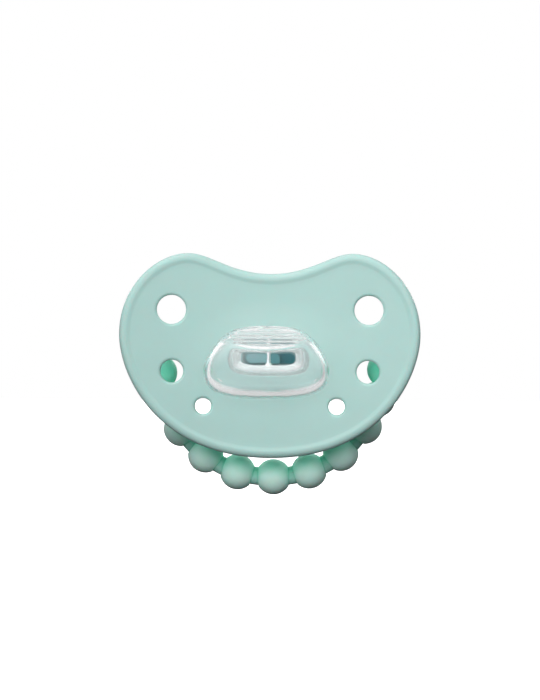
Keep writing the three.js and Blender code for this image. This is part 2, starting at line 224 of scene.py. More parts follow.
def clear_silicone(name):
    """Clear moulded silicone: glossy, a little milky where it is seen edge-on and all along the neck,
    which also has a faint painted glow.

    The upper facet of the bulb has fine streaks across it.
    """
    material, tree, shader, add = node_material(name)
    link = tree.links.new
    place = add("ShaderNodeTexCoord")
    split = add("ShaderNodeSeparateXYZ")
    link(place.outputs["Object"], split.inputs[0])

    waves = add("ShaderNodeTexNoise", Scale=WAVE_SCALE, Detail=2.0, Roughness=0.45)
    link(place.outputs["Object"], waves.inputs["Vector"])
    bump = add("ShaderNodeBump", Strength=0.25, Distance=WAVE_DEPTH)
    link(waves.outputs["Fac"], bump.inputs["Height"])

    streaks = add(
        "ShaderNodeTexWave", bands_direction="Y", Scale=STREAK_SCALE, Distortion=2.5, Detail=2.0
    )
    link(place.outputs["Object"], streaks.inputs["Vector"])
    upper = fade(add, *STREAK_HEIGHTS)
    link(split.outputs["Z"], upper.inputs["Value"])
    bulb_only = fade(add, *STREAK_START)
    link(split.outputs["Y"], bulb_only.inputs["Value"])
    on_facet = add("ShaderNodeMath", operation="MULTIPLY")
    link(upper.outputs["Result"], on_facet.inputs[0])
    link(bulb_only.outputs["Result"], on_facet.inputs[1])
    streak_height = add("ShaderNodeMath", operation="MULTIPLY")
    link(streaks.outputs["Fac"], streak_height.inputs[0])
    link(on_facet.outputs[0], streak_height.inputs[1])
    streak_bump = add("ShaderNodeBump", Strength=0.6, Distance=STREAK_DEPTH)
    link(streak_height.outputs[0], streak_bump.inputs["Height"])
    link(bump.outputs["Normal"], streak_bump.inputs["Normal"])
    link(streak_bump.outputs["Normal"], shader.inputs["Normal"])

    smears = add("ShaderNodeTexNoise", Scale=SMEAR_SCALE, Detail=4.0, Roughness=0.6)
    link(place.outputs["Object"], smears.inputs["Vector"])
    gloss = add("ShaderNodeMapRange")
    gloss.inputs["To Min"].default_value = SILICONE_GLOSS[0]
    gloss.inputs["To Max"].default_value = SILICONE_GLOSS[1]
    link(smears.outputs["Fac"], gloss.inputs["Value"])
    link(gloss.outputs["Result"], shader.inputs["Roughness"])

    edge = add("ShaderNodeLayerWeight", Blend=0.5)
    edge_power = add("ShaderNodeMath", operation="POWER")
    edge_power.inputs[1].default_value = EDGE_POWER
    link(edge.outputs["Facing"], edge_power.inputs[0])
    edge_share = add("ShaderNodeMath", operation="MULTIPLY")
    edge_share.inputs[1].default_value = EDGE_MILK
    link(edge_power.outputs[0], edge_share.inputs[0])

    neck = fade(add, *NECK_START, low=CLEAR_MILK, high=NECK_MILK)
    link(split.outputs["Y"], neck.inputs["Value"])
    milk = add("ShaderNodeMath", operation="ADD")
    link(edge_share.outputs[0], milk.inputs[0])
    link(neck.outputs["Result"], milk.inputs[1])
    clear = add("ShaderNodeMath", operation="SUBTRACT", use_clamp=True)
    clear.inputs[0].default_value = 1.0
    link(milk.outputs[0], clear.inputs[1])
    link(clear.outputs[0], shader.inputs["Transmission Weight"])

    # painted light: the milky neck glows a little, though it is no lamp
    painted_glow = add("ShaderNodeMath", operation="MULTIPLY")
    painted_glow.inputs[1].default_value = NECK_PAINTED_GLOW
    link(neck.outputs["Result"], painted_glow.inputs[0])
    link(painted_glow.outputs[0], shader.inputs["Emission Strength"])
    shader.inputs["Emission Color"].default_value = NECK_PAINTED_GLOW_TINT

    shader.inputs["Base Color"].default_value = SILICONE_TINT
    shader.inputs["IOR"].default_value = SILICONE_IOR
    return material


# The second colour given to a plastic is painted shade for its hollows.
SHIELD_MINT = moulded_plastic(
    "shield_mint_plastic", srgb(173, 207, 202), 0.4, reach=0.6, painted_shade_colour=srgb(120, 192, 174)
)
KNOB_MINT = moulded_plastic("knob_mint_plastic", srgb(173, 207, 202), 0.5, painted_shade_colour=srgb(100, 185, 160))
ROD_MINT = moulded_plastic("rod_mint_plastic", srgb(165, 218, 205), 0.58, painted_shade_colour=srgb(60, 200, 160))
# Painted light: the beads' mint is painted lighter than the shield's, standing in for the light on
# the beads; their second colour is painted shade.
BEAD_MINT_PAINTED_LIGHTER = moulded_plastic(
    "bead_mint_painted_lighter", srgb(203, 240, 230), 0.55, grain=0.5, reach=0.6, painted_shade_colour=srgb(125, 236, 204)
)
PLUG_TEAL = moulded_plastic("plug_teal_plastic", srgb(128, 168, 172), 0.6, shine=0.1)
# Painted shade: darker copies of the plug's teal for the faces of its two recess steps.
PLUG_PAINTED_SHADE_MID = moulded_plastic("plug_painted_shade_mid", srgb(70, 135, 140), 0.6, shine=0.1)
PLUG_PAINTED_SHADE_DEEP = moulded_plastic("plug_painted_shade_deep", srgb(0, 108, 118), 0.7, shine=0.0)
SILICONE = clear_silicone("clear_silicone")
FROSTED = moulded_plastic("frosted_silicone", srgb(238, 245, 246), 0.5, glow=0.2)

# ---------------------------------------------------------------- helpers

SAME_POINT = 1e-7

def mesh_object(name, vertices, faces, material, body, replaced):
    """A smooth-shaded piece that rides on a body and stands for CAD nodes."""
    mesh = bpy.data.meshes.new(name)
    mesh.from_pydata([tuple(v) for v in vertices], [], faces)
    mesh.validate()
    tool = bmesh.new()
    tool.from_mesh(mesh)
    bmesh.ops.remove_doubles(tool, verts=tool.verts, dist=SAME_POINT)
    bmesh.ops.recalc_face_normals(tool, faces=tool.faces)
    tool.to_mesh(mesh)
    tool.free()
    mesh.polygons.foreach_set("use_smooth", [True] * len(mesh.polygons))
    piece = bpy.data.objects.new(name, mesh)
    scene.collection.objects.link(piece)
    piece.data.materials.append(material)
    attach(piece, body)
    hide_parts(replaced)
    return piece


def smooth(t):
    """Goes softly from 0 to 1 as t does, and stays there outside."""
    t = min(1.0, max(0.0, t))
    return t * t * (3 - 2 * t)


def mix(a, b, share):
    return a + (b - a) * share


def rings_to_faces(rows, sides, closed_rows=False):
    """Quads between rows of points, each row being one closed ring."""
    faces = []
    last = rows if closed_rows else rows - 1
    for row in range(last):
        after = (row + 1) % rows
        for i in range(sides):
            j = (i + 1) % sides
            faces.append((row * sides + i, after * sides + i, after * sides + j, row * sides + j))
    return faces


def boolean(piece, tool_object, operation):
    """Joins or cuts a piece with another mesh, which is then removed."""
    modifier = piece.modifiers.new("cut", "BOOLEAN")
    modifier.operation = operation
    modifier.solver = "EXACT"
    modifier.material_mode = "TRANSFER"
    modifier.object = tool_object
    view_layer = bpy.context.view_layer
    view_layer.objects.active = piece
    with bpy.context.temp_override(object=piece, active_object=piece, selected_objects=[piece]):
        bpy.ops.object.modifier_apply(modifier=modifier.name)
    bpy.data.objects.remove(tool_object, do_unlink=True)
    piece.data.polygons.foreach_set("use_smooth", [True] * len(piece.data.polygons))


def loose_object(name, vertices, faces):
    """A helper mesh for a boolean."""
    mesh = bpy.data.meshes.new(name)
    mesh.from_pydata([tuple(v) for v in vertices], [], faces)
    tool = bmesh.new()
    tool.from_mesh(mesh)
    bmesh.ops.recalc_face_normals(tool, faces=tool.faces)
    tool.to_mesh(mesh)
    tool.free()
    made = bpy.data.objects.new(name, mesh)
    scene.collection.objects.link(made)
    return made


def sharpen(piece, degrees=35):
    """Hard shading across the piece's real corners."""
    tool = bmesh.new()
    tool.from_mesh(piece.data)
    for edge in tool.edges:
        if len(edge.link_faces) == 2 and edge.calc_face_angle() > math.radians(degrees):
            edge.smooth = False
    tool.to_mesh(piece.data)
    tool.free()


def bezier(a, b, c, d, count):
    """Points along a cubic curve, without its last one."""
    points = []
    for i in range(count):
        t = i / count
        s = 1 - t
        points.append(a * s**3 + b * (3 * s * s * t) + c * (3 * s * t * t) + d * t**3)
    return points


def even(points, spacing):
    """The same closed line with its points evenly spaced."""
    lengths = [0.0]
    for i, point in enumerate(points):
        lengths.append(lengths[-1] + (points[(i + 1) % len(points)] - point).length)
    count = round(lengths[-1] / spacing)
    made = []
    k = 0
    for i in range(count):
        at = lengths[-1] * i / count
        while lengths[k + 1] < at:
            k += 1
        share = (at - lengths[k]) / (lengths[k + 1] - lengths[k])
        made.append(points[k].lerp(points[(k + 1) % len(points)], share))
    return made


def lofted(name, rings, sides, material, body, replaced):
    """A piece through rings of points, closed by a flat cap at each end."""
    vertices = [point for ring in rings for point in ring]
    faces = rings_to_faces(len(rings), sides)
    faces.append(tuple(range(sides)))
    faces.append(tuple(range((len(rings) - 1) * sides, len(rings) * sides)))
    return mesh_object(name, vertices, faces, material, body, replaced)


# ---------------------------------------------------------------- shield

# The outline's turning points, and how far the curves reach out from them.
SIDE_X = 27.65 * MM
LOBE_Z = 19.15 * MM
BOTTOM_Z = -18.75 * MM
LOBE_X = 15.1 * MM
NOTCH_Z = 15.4 * MM
SIDE_Z = 4.1 * MM
NOTCH_REACH = 7.3 * MM
LOBE_REACH_IN = 3.9 * MM
LOBE_REACH_OUT = 5.7 * MM
SIDE_REACH_UP = 9.1 * MM
SIDE_REACH_DOWN = 7.5 * MM
BOTTOM_REACH = 20.9 * MM

WRAP_RADIUS = 75 * MM
TALL_RADIUS = 600 * MM
PLATE_HALF = 0.95 * MM
RIM_RADIUS = 1.2 * MM
RIM_SLOPE = 0.9 * MM  # width of the soft step from the lip down to the plate
VENT_FILLET = 0.55 * MM
MOUND_HEIGHT = 1.2 * MM
MOUND_HALF = (17 * MM, 11 * MM)
SEAT_Y = 1.3 * MM
SEAT_RADIUS = 11.7 * MM
SEAT_STEP = 0.6 * MM
NECK_HOLE_HALF = (7.15 * MM, 3.55 * MM)
VENTS = [(18.22, 8.7, 2.68), (18.1, -2.7, 2.1), (12.36, -9.13, 1.5)]  # x, z and radius in mm
NECK_HOLE_FILLET = 0.5 * MM
EDGE_STEPS = 7  # rings less one over each rounded edge
OUTLINE_SPACING = 0.6 * MM
SLOT_SPACING = 0.45 * MM
SEAT_SIDES = 110
GRID = 0.85 * MM
ROW_SHARE = 0.866  # a row of triangles is this much lower than they are wide


def outline():
    """The shield's edge in X and Z, anticlockwise from the bottom."""
    v = Vector
    right = [
        (v((0, BOTTOM_Z)), v((BOTTOM_REACH, BOTTOM_Z)), v((SIDE_X, SIDE_Z - SIDE_REACH_DOWN)),
         v((SIDE_X, SIDE_Z))),
        (v((SIDE_X, SIDE_Z)), v((SIDE_X, SIDE_Z + SIDE_REACH_UP)),
         v((LOBE_X + LOBE_REACH_OUT, LOBE_Z)), v((LOBE_X, LOBE_Z))),
        (v((LOBE_X, LOBE_Z)), v((LOBE_X - LOBE_REACH_IN, LOBE_Z)), v((NOTCH_REACH, NOTCH_Z)),
         v((0, NOTCH_Z))),
    ]
    points = []
    for curve in right:
        points += bezier(*curve, 200)
    for curve in reversed(right):
        mirrored = [v((-point.x, point.y)) for point in reversed(curve)]
        points += bezier(*mirrored, 200)
    return even(points, OUTLINE_SPACING)


def moved_inwards(points, distance):
    """A closed anticlockwise line moved to its left by distance."""
    count = len(points)
    made = []
    for i, point in enumerate(points):
        along = (points[(i + 1) % count] - points[i - 1]).normalized()
        made.append(point + Vector((-along.y, along.x)) * distance)
    return made


def circle(x, z, radius, count):
    turn = 2 * math.pi / count
    return [
        Vector((x + radius * math.cos(i * turn), z + radius * math.sin(i * turn)))
        for i in range(count)
    ]


def slot_line(half, count):
    """A slot with round ends, anticlockwise."""
    half_width, half_height = half
    straight = half_width - half_height
    points = []
    for i in range(count):
        turn = -math.pi / 2 + math.pi * i / count
        points.append(
            Vector((straight + half_height * math.cos(turn), half_height * math.sin(turn)))
        )
    points += [-point for point in points]
    return even(points, SLOT_SPACING)


def plate_y(x, z):
    return -x * x / (2 * WRAP_RADIUS) - z * z / (2 * TALL_RADIUS)


def front_y(x, z):
    """The plate's face towards the mouth, with the mound."""
    away = min(1.0, math.hypot(x / MOUND_HALF[0], z / MOUND_HALF[1]))
    return plate_y(x, z) - PLATE_HALF - MOUND_HEIGHT * math.cos(away * math.pi / 2) ** 2


def back_y(x, z):
    """The plate's back, with the round seat of the knob."""
    out = (math.hypot(x, z) - SEAT_RADIUS) / SEAT_STEP
    return mix(SEAT_Y, plate_y(x, z) + PLATE_HALF, smooth(out))


def inside(point, polygon):
    """True if a point lies in a closed line."""
    hit = False
    before = polygon[-1]
    for here in polygon:
        if (here.y > point.y) != (before.y > point.y):
            cross = (before.x - here.x) * (point.y - here.y) / (before.y - here.y) + here.x
            if point.x < cross:
                hit = not hit
        before = here
    return hit


def make_shield():
    """Front and back skins over one flat mesh: rings along every edge, triangles between them."""
    flat = []  # (x, z) of each point
    height = []  # (front y, back y) of each point
    quads = []

    def add_ring(points, front, back):
        start = len(flat)
        for point in points:
            flat.append(point)
            height.append((front(point.x, point.y), back(point.x, point.y)))
        return list(range(start, len(flat)))

    def add_band(line, steps, is_hole):
        """Rings from an edge into the plate. steps holds (distance, front height, back height)."""
        before = None
        for distance, front, back in steps:
            points = moved_inwards(line, -distance if is_hole else distance)
            ring = add_ring(points, front, back)
            if before:
                for i in range(len(ring)):
                    j = (i + 1) % len(ring)
                    quads.append((before[i], before[j], ring[j], ring[i]))
            before = ring
        return before

    def rim_steps():
        """A round lip, then a soft step down to the plate."""
        steps = []
        for i in range(EDGE_STEPS + 1):
            turn = math.pi / 2 * i / EDGE_STEPS
            rise = RIM_RADIUS * math.sin(turn)
            steps.append((RIM_RADIUS * (1 - math.cos(turn)), rise, rise))
        for i in range(1, EDGE_STEPS + 1):
            rise = mix(RIM_RADIUS, PLATE_HALF, smooth(i / EDGE_STEPS))
            steps.append((RIM_RADIUS + RIM_SLOPE * i / EDGE_STEPS, rise, rise))
        return [
            (
                distance,
                lambda x, z, rise=front: plate_y(x, z) - rise,
                lambda x, z, rise=back: plate_y(x, z) + rise,
            )
            for distance, front, back in steps
        ]

    def hole_steps(fillet):
        """A rounded edge on both faces: from the middle of the wall up to each skin."""
        steps = []
        for i in range(EDGE_STEPS + 1):
            turn = math.pi / 2 * i / EDGE_STEPS
            distance = fillet * (1 - math.cos(turn))
            sunk = fillet * (1 - math.sin(turn))
            steps.append(
                (
                    distance,
                    lambda x, z, sunk=sunk: front_y(x, z) + sunk,
                    lambda x, z, sunk=sunk: back_y(x, z) - sunk,
                )
            )
        return steps

    border = outline()
    outer = add_band(border, rim_steps(), False)
    hole_rings = []
    for x, z, radius in VENTS:
        for side in (-1, 1):
            line = circle(side * x * MM, z * MM, radius * MM, round(radius * 20))
            hole_rings.append(add_band(line, hole_steps(VENT_FILLET), True))
    hole_rings.append(add_band(slot_line(NECK_HOLE_HALF, 40), hole_steps(NECK_HOLE_FILLET), True))

    keep_in = [flat[i] for i in outer]
    keep_out = [[flat[i] for i in ring] for ring in hole_rings]

    loops = [outer] + hole_rings
    for radius in (SEAT_RADIUS, SEAT_RADIUS + SEAT_STEP * 0.5, SEAT_RADIUS + SEAT_STEP):
        loops.append(add_ring(circle(0, 0, radius, SEAT_SIDES), front_y, back_y))

    near = GRID * 0.55
    fence = moved_inwards(keep_in, near)
    walls = [moved_inwards(ring, -near) for ring in keep_out]
    rows = int((LOBE_Z - BOTTOM_Z) / (GRID * ROW_SHARE)) + 1
    columns = int(2 * SIDE_X / GRID) + 1
    inner = []
    for row in range(rows):
        for column in range(columns):
            x = -SIDE_X + (column + (row % 2) / 2) * GRID
            point = Vector((x, BOTTOM_Z + row * GRID * ROW_SHARE))
            radius = point.length - SEAT_RADIUS
            if -0.5 * near < radius < SEAT_STEP + 0.5 * near:
                continue
            if inside(point, fence) and not any(inside(point, wall) for wall in walls):
                inner.append(point)
    grid_ring = add_ring(inner, front_y, back_y)

    used = [i for loop in loops for i in loop] + grid_ring
    edges = []
    start = 0
    for loop in loops:
        count = len(loop)
        edges += [(start + i, start + (i + 1) % count) for i in range(count)]
        start += count
    made = delaunay_2d_cdt([flat[i] for i in used], edges, [], 0, 1e-9)
    triangles = []
    for face in made[2]:
        corners = [used[made[3][i][0]] for i in face]
        centre = (flat[corners[0]] + flat[corners[1]] + flat[corners[2]]) / 3
        if inside(centre, keep_in) and not any(inside(centre, ring) for ring in keep_out):
            triangles.append(tuple(corners))

    count = len(flat)
    vertices = [(p.x, height[i][0], p.y) for i, p in enumerate(flat)]
    vertices += [(p.x, height[i][1], p.y) for i, p in enumerate(flat)]
    faces = []
    for face in quads + triangles:
        faces.append(face)
        faces.append(tuple(i + count for i in reversed(face)))

    # the walls of the holes, between the two skins
    def wall(first, length):
        for i in range(length):
            j = (i + 1) % length
            faces.append((first + i, first + j, first + j + count, first + i + count))

    start = len(border) * len(rim_steps())
    for ring in hole_rings:
        length = len(ring)
        wall(start, length)
        start += length * (EDGE_STEPS + 1)
    mesh_object(
        "shield_shell", vertices, faces, SHIELD_MINT, "soother", "shield"
    )


make_shield()

# ---------------------------------------------------------------- nipple

nipple_low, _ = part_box("nipple")
NIPPLE_SIDES = 112
FACET_FRONT = (-27.2 * MM, 2.2 * MM)
FACET_REAR = (-16.5 * MM, 6.15 * MM)
FACET_SLOPE = (FACET_REAR[1] - FACET_FRONT[1]) / (FACET_REAR[0] - FACET_FRONT[0])
FACET_EDGE = 0.5 * MM  # how softly the facet's edge is rounded
FACET_END = -13 * MM  # no facet from here back along the neck
FACET_BLEND = 3 * MM
NOSE_FULLNESS = 2.2
NIPPLE_WALL = 1.3 * MM
NOSE_RINGS = 26
BODY_RINGS = 70
FLANGE_SQUARENESS = 0.75


def section(half, up, down, z, dome, sole):
    """Half width, heights above and below z, and how full the upper and lower halves are."""
    return {
        "half": half * MM,
        "up": up * MM,
        "down": down * MM,
        "z": z * MM,
        "dome": dome,
        "sole": sole,
    }


OUTSIDE = {
    "tip": nipple_low.y,
    "bulb_y": -21 * MM,
    "neck_y": -11 * MM,
    "flare_y": -4 * MM,
    "base_y": -1.5 * MM,
    "bulb": section(11.15, 9.6, 5.2, -2.2, 1.65, 2.8),
    "neck": section(6.3, 2.7, 2.7, 0, 3, 3),
    "base": section(6.7, 3.1, 3.1, 0, 3, 3),
}
INSIDE = {
    "tip": nipple_low.y + 1.8 * MM,
    "bulb_y": -20.6 * MM,
    "neck_y": -11.4 * MM,
    "flare_y": -6.4 * MM,
    "base_y": -2.8 * MM,
    "bulb": section(9.85, 8.2, 3.9, -2.2, 1.65, 2.8),
    "neck": section(4.9, 1.45, 1.45, 0, 4, 4),
    "base": section(4.9, 1.45, 1.45, 0, 4, 4),
}


def section_at(form, y):
    """The section at y: shrinking round the nose, then blended from bulb to neck to base."""
    if y < form["bulb_y"]:
        out = min(1.0, (form["bulb_y"] - y) / (form["bulb_y"] - form["tip"]))
        size = (1 - out**NOSE_FULLNESS) ** (1 / NOSE_FULLNESS)
        bulb = form["bulb"]
        grown = {key: bulb[key] * size for key in ("half", "up", "down")}
        return {**bulb, **grown}
    if y < form["neck_y"]:
        share = smooth((y - form["bulb_y"]) / (form["neck_y"] - form["bulb_y"]))
        a, b = form["bulb"], form["neck"]
    else:
        share = smooth((y - form["flare_y"]) / (form["base_y"] - form["flare_y"]))
        a, b = form["neck"], form["base"]
    return {key: mix(a[key], b[key], share) for key in a}


def nipple_ring(form, y, drop):
    """One ring of the bulb or neck. drop is how far its facet lies under the outer one."""
    here = section_at(form, y)
    facet = FACET_FRONT[1] + FACET_SLOPE * (y - FACET_FRONT[0]) - drop
    edge = FACET_EDGE * smooth((FACET_END - y) / FACET_BLEND)
    ring = []
    for i in range(NIPPLE_SIDES):
        angle = 2 * math.pi * i / NIPPLE_SIDES
        rising = math.sin(angle) >= 0
        power = 2 / (here["dome"] if rising else here["sole"])
        x = math.copysign(abs(math.cos(angle)) ** power, math.cos(angle)) * here["half"]
        reach = here["up"] if rising else -here["down"]
        z = here["z"] + reach * abs(math.sin(angle)) ** power
        if y < FACET_END:
            z = (z + facet - math.hypot(z - facet, edge)) / 2
        ring.append(Vector((x, y, z)))
    return ring


def places(form, end):
    """Places along Y from just behind the tip to the end, closest together at the tip."""
    depth = form["bulb_y"] - form["tip"]
    made = []
    for i in range(1, NOSE_RINGS + 1):
        made.append(form["bulb_y"] - depth * math.cos(math.pi / 2 * i / NOSE_RINGS))
    for i in range(1, BODY_RINGS + 1):
        made.append(mix(form["bulb_y"], end, i / BODY_RINGS))
    return made


def slot_ring(half_width, half_height, y):
    """A flange's ring, with its points at the same angles as the nipple's."""
    ring = []
    for i in range(NIPPLE_SIDES):
        angle = 2 * math.pi * i / NIPPLE_SIDES
        x = math.copysign(abs(math.cos(angle)) ** FLANGE_SQUARENESS, math.cos(angle))
        z = math.copysign(abs(math.sin(angle)) ** FLANGE_SQUARENESS, math.sin(angle))
        ring.append(Vector((x * half_width, y, z * half_height)))
    return ring


def make_nipple():
    """One closed skin: outside from tip to flange, round the flange, and inside back to the tip."""
    flange_half = (9.3 * MM, 7.3 * MM)
    flange_front, flange_back = 1.6 * MM, 2.9 * MM
    edge = 0.3 * MM
    rings = [nipple_ring(OUTSIDE, y, 0) for y in places(OUTSIDE, flange_front)]
    rings.append(slot_ring(flange_half[0] - edge, flange_half[1] - edge, flange_front))
    rings.append(slot_ring(*flange_half, flange_front + edge))
    rings.append(slot_ring(*flange_half, flange_back - edge))
    rings.append(slot_ring(flange_half[0] - edge, flange_half[1] - edge, flange_back))
    inner = [nipple_ring(INSIDE, y, NIPPLE_WALL) for y in places(INSIDE, flange_back)]
    rings += reversed(inner)
    vertices = [point for ring in rings for point in ring]
    faces = rings_to_faces(len(rings), NIPPLE_SIDES)
    for form, first, flip in ((OUTSIDE, 0, False), (INSIDE, len(vertices) - NIPPLE_SIDES, True)):
        pole = len(vertices)
        vertices.append(Vector((0, form["tip"], form["bulb"]["z"])))
        for i in range(NIPPLE_SIDES):
            face = (pole, first + i, first + (i + 1) % NIPPLE_SIDES)
            faces.append(face[::-1] if flip else face)
    nipple = mesh_object(
        "silicone_nipple", vertices, faces, SILICONE, "soother", "nipple"
    )
    nipple.visible_diffuse = False
    nipple.visible_shadow = False
    boolean(nipple, neck_rib(), "UNION")


def neck_rib():
    """The rib that stands across the neck's opening, thicker where it meets the neck."""
    front, back = -12 * MM, -5.5 * MM
    half_height = 1.9 * MM
    root_height = 1.3 * MM
    rows = 16
    sides = 12
    vertices = []
    for row in range(rows + 1):
        z = mix(-half_height, half_height, row / rows)
        root = (abs(z) / root_height) ** 6
        half_thickness = (0.24 + 0.35 * min(1.2, root)) * MM
        for i in range(sides):
            angle = 2 * math.pi * i / sides
            x = math.copysign(abs(math.cos(angle)) ** 0.3, math.cos(angle)) * half_thickness
            y = math.copysign(abs(math.sin(angle)) ** 0.6, math.sin(angle)) * (back - front) / 2
            vertices.append(Vector((x, (front + back) / 2 + y, z)))
    faces = rings_to_faces(rows + 1, sides)
    faces.append(tuple(range(sides)))
    faces.append(tuple(range(rows * sides, (rows + 1) * sides)))
    rib = loose_object("rib", vertices, faces)
    rib.data.materials.append(FROSTED)
    return rib


make_nipple()

# ---------------------------------------------------------------- plug

_, plug_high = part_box("nipple_plug")
PLUG_SIDES = 72


def even_slot(half_width, half_height, y):
    """A slot's ring with round ends, its points spread by angle of turn."""
    straight = half_width - half_height
    ring = []
    for i in range(PLUG_SIDES):
        angle = 2 * math.pi * i / PLUG_SIDES
        x = half_height * math.cos(angle) + math.copysign(straight, math.cos(angle))
        ring.append(Vector((x, y, half_height * math.sin(angle))))
    return ring


def make_plug():
    """The plug's tongue and flange, its front cut back on one side in two steps whose faces are
    painted darker teal as painted shade.
    """
    front, back = 0.5 * MM, plug_high.y
    half = (4.6 * MM, 1.15 * MM)
    flange = (6.1 * MM, 3.6 * MM)
    flange_front = 4.9 * MM
    mid_y = 0.65 * MM
    deep_y = 3.9 * MM

    def ring(size, y, less=0.0):
        return even_slot(size[0] - less, size[1] - less, y)

    rings = [
        ring(half, front, 0.2 * MM),
        ring(half, front + 0.06 * MM, 0.06 * MM),
        ring(half, front + 0.2 * MM),
        ring(half, flange_front),
        ring(flange, flange_front, 0.2 * MM),
        ring(flange, flange_front + 0.2 * MM),
        ring(flange, back - 0.2 * MM),
        ring(flange, back, 0.2 * MM),
    ]
    plug = lofted(
        "plug_moulding", rings, PLUG_SIDES, PLUG_TEAL, "soother", "nipple_plug"
    )
    # what each step cuts away, as x and z in millimetres
    mid_line = [(6, -3), (6, 3), (0.1, 3), (0.1, -3)]
    deep_line = [(6, -3), (6, 3), (1.3, 3), (1.4, 0.7), (1.75, 0.3), (1.8, -0.2), (1.65, -3)]
    # each cut leaves its faces in a darker copy of the plug's teal, painted shade inside the recess
    for line, floor_y, material in ((mid_line, mid_y, PLUG_PAINTED_SHADE_MID), (deep_line, deep_y, PLUG_PAINTED_SHADE_DEEP)):
        sides = len(line)
        vertices = [Vector((x * MM, y, z * MM)) for y in (front - MM, floor_y) for x, z in line]
        faces = rings_to_faces(2, sides) + [tuple(range(sides)), tuple(range(sides, 2 * sides))]
        cutter = loose_object("cut_away", vertices, faces)
        cutter.data.materials.append(material)
        boolean(plug, cutter, "DIFFERENCE")
    sharpen(plug, 40)


make_plug()

# ---------------------------------------------------------------- knob

base_low, base_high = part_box("knob_base")
_, cap_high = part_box("knob_cap")
hinge = frame["joints"][0]
HINGE_Y = hinge["pos_m"][1]
HINGE_Z = hinge["pos_m"][2]
KNOB_RADIUS = cap_high.x
KNOB_WALL = 1.5 * MM
TURNS = 144
PIN_RADIUS = 1.4 * MM
PIN_ROOM = 0.22 * MM
PIN_HOLE_FROM = 7 * MM  # the pin holes are cut from here outwards
PARTING = 0.3 * MM  # the gap between base and cap, half of it on each side of the hinge
CAP_THICKNESS = 1.6 * MM
DISH_RIM = 9.0 * MM
DISH_FLOOR = 8.4 * MM
DISH_DEPTH = 0.35 * MM


def turned(name, profile, material, body, replaced):
    """A closed profile of (radius, y) turned about the Y axis."""
    rings = []
    for radius, y in profile:
        ring = []
        for i in range(TURNS):
            angle = 2 * math.pi * i / TURNS
            ring.append(Vector((radius * math.cos(angle), y, radius * math.sin(angle))))
        rings.append(ring)
    vertices = [point for ring in rings for point in ring]
    on_axis = profile[0][0] < 1e-9
    faces = rings_to_faces(len(rings), TURNS, closed_rows=not on_axis)
    return mesh_object(name, vertices, faces, material, body, replaced)


def rounded(points, steps=6):
    """A line with some corners rounded: points are (radius, y, corner radius)."""
    made = []
    count = len(points)
    for i, (r, y, corner) in enumerate(points):
        here = Vector((r, y))
        if corner <= 0:
            made.append((r, y))
            continue
        before = Vector(points[i - 1][:2])
        after = Vector(points[(i + 1) % count][:2])
        back = (before - here).normalized()
        on = (after - here).normalized()
        half = math.acos(max(-1, min(1, back.dot(on)))) / 2
        reach = corner / math.tan(half)
        start = here + back * reach
        end = here + on * reach
        for k in range(steps + 1):
            t = k / steps
            point = start * (1 - t) ** 2 + here * (2 * t * (1 - t)) + end * t * t
            made.append((point.x, point.y))
    return made


def bar(x0, x1, radius, sides=48):
    """A helper bar along the hinge axis."""
    vertices = []
    for x in (x0, x1):
        for i in range(sides):
            angle = 2 * math.pi * i / sides
            y = HINGE_Y + radius * math.cos(angle)
            vertices.append(Vector((x, y, HINGE_Z + radius * math.sin(angle))))
    faces = rings_to_faces(2, sides) + [tuple(range(sides)), tuple(range(sides, 2 * sides))]
    return loose_object("bar", vertices, faces)


def make_knob():
    """The knob's base ring and its dished cap, parted at the hinge, with holes for the pins."""
    inner = KNOB_RADIUS - KNOB_WALL
    cap_front = HINGE_Y + PARTING / 2
    cap_floor = cap_high.y - CAP_THICKNESS
    dish = cap_high.y - DISH_DEPTH
    base = turned(
        "knob_base_moulding",
        rounded(
            [
                (inner, base_low.y, 0.2 * MM),
                (KNOB_RADIUS, base_low.y, 0.35 * MM),
                (KNOB_RADIUS, base_high.y, 0.3 * MM),
                (inner, base_high.y, 0.2 * MM),
            ]
        ),
        KNOB_MINT,
        "soother",
        "knob_base",
    )
    cap = turned(
        "knob_cap_moulding",
        rounded(
            [
                (0, cap_floor, 0),
                (inner, cap_floor, 0.5 * MM),
                (inner, cap_front, 0.2 * MM),
                (KNOB_RADIUS, cap_front, 0.3 * MM),
                (KNOB_RADIUS, cap_high.y, 1.9 * MM),
                (DISH_RIM, cap_high.y, 0.5 * MM),
                (DISH_FLOOR, dish, 0.5 * MM),
                (0, dish, 0),
            ]
        ),
        KNOB_MINT,
        "soother",
        "knob_cap",
    )
    reach = KNOB_RADIUS + 2 * MM
    for piece in (base, cap):
        for x0, x1 in ((-reach, -PIN_HOLE_FROM), (PIN_HOLE_FROM, reach)):
            boolean(piece, bar(x0, x1, PIN_RADIUS + PIN_ROOM), "DIFFERENCE")
        sharpen(piece)


make_knob()

# ---------------------------------------------------------------- handle

DROP_Z = -22.6 * MM
DROP_REACH = 16.2 * MM
ARM_X = 21.5 * MM
ARM_REACH = 7.6 * MM
ROD_RADIUS = 1.72 * MM
BEND_RADIUS = 3.0 * MM
SHOULDER_X = 11.9 * MM
BEAD_RADIUS = 3.35 * MM
BEAD_HALF_LENGTH = 2.8 * MM
HANG = math.radians(1.1)  # how far the handle leans in its loose pin holes
ROD_SIDES = 40
BEAD_SIDES = 48
BEADS_ALONG = [0, 6.85, 13.7, 20.5, 26.2, 31.95]  # mm along the rod from its lowest point


def arc_points(count):
    """The right half of the rod's curve, from its lowest point up to the arm."""
    arm_z = HINGE_Z - BEND_RADIUS
    flat = bezier(
        Vector((0, DROP_Z)),
        Vector((DROP_REACH, DROP_Z)),
        Vector((ARM_X, arm_z - ARM_REACH)),
        Vector((ARM_X, arm_z)),
        count,
    )
    return [Vector((point.x, HINGE_Y, point.y)) for point in flat]


